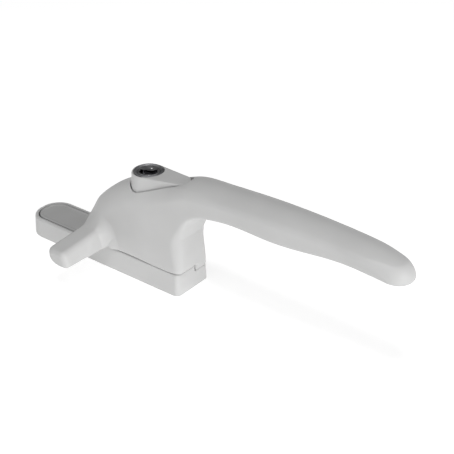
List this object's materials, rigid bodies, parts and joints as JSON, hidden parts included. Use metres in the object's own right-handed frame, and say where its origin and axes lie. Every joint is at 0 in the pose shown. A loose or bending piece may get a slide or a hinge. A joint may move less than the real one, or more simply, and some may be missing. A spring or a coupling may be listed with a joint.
{
  "type": "keyed window handle lock",
  "caption": "Cockspur window handle with a cranked lever, side nose and a keyed teardrop push button that bolts it to its base plate.",
  "frame": {"origin": "pivot axis of the handle at the base plate's mounting face", "axes": "+X along the closed lever, -Y along the nose, +Z away from the window frame"},
  "size_m": [0.1595, 0.0379, 0.0439],
  "materials": {
    "white_coat": "satin white powder coat on zinc die casting",
    "white_cap": "satin white moulded plastic",
    "acetal": "natural acetal",
    "zinc_steel": "bright zinc plate",
    "spring_steel": "oiled spring steel",
    "chrome_zinc": "chrome plate",
    "chrome_face": "polished chrome plate",
    "brass_wafer": "rolled brass"
  },
  "bodies": {
    "base": {"base_plate": "white_coat", "pivot_bush": "acetal"},
    "cap": {"screw_cap": "white_cap"},
    "handle": {"handle_lever": "white_coat", "pivot_pin": "zinc_steel", "stop_washer": "zinc_steel", "disc_spring": "spring_steel", "retaining_clip": "spring_steel", "guide_plate": "zinc_steel", "plate_screws": "zinc_steel", "return_spring": "spring_steel", "guide_pin": "zinc_steel"},
    "button": {"push_button": "white_coat", "lock_barrel": "chrome_zinc", "trim_ring": "chrome_face", "barrel_clip": "spring_steel", "locking_bolt": "zinc_steel", "cross_pin": "zinc_steel"},
    "plug": {"key_plug": "chrome_face", "plug_wafers": "brass_wafer", "wafer_springs": "spring_steel", "plug_clip": "spring_steel"},
    "catch": {"snap_catch": "zinc_steel"}
  },
  "joints": [
    {"name": "cap_lift", "type": "slide", "parent": "base", "child": "cap", "axis": [0, 0, 1], "range_m": [0, 0.01]},
    {"name": "handle_turn", "type": "hinge", "parent": "base", "child": "handle", "pos_m": [0, 0, 0], "axis": [0, 0, 1], "range_deg": [0, 90]},
    {"name": "button_press", "type": "slide", "parent": "handle", "child": "button", "axis": [0, 0, -1], "range_m": [0, 0.004], "stiffness_N_per_m": 800, "springref_m": -0.004, "deforming": ["return_spring"]},
    {"name": "key_turn", "type": "hinge", "parent": "button", "child": "plug", "pos_m": [0.019, 0, 0.03], "axis": [0, 0, 1], "range_deg": [0, 90]},
    {"name": "catch_slide", "type": "slide", "parent": "button", "child": "catch", "axis": [-1, 0, 0], "range_m": [0, 0.0012]}
  ],
  "couplings": [
    {"joint": "catch_slide", "follows": "button_press", "ratio": 0.3}
  ]
}
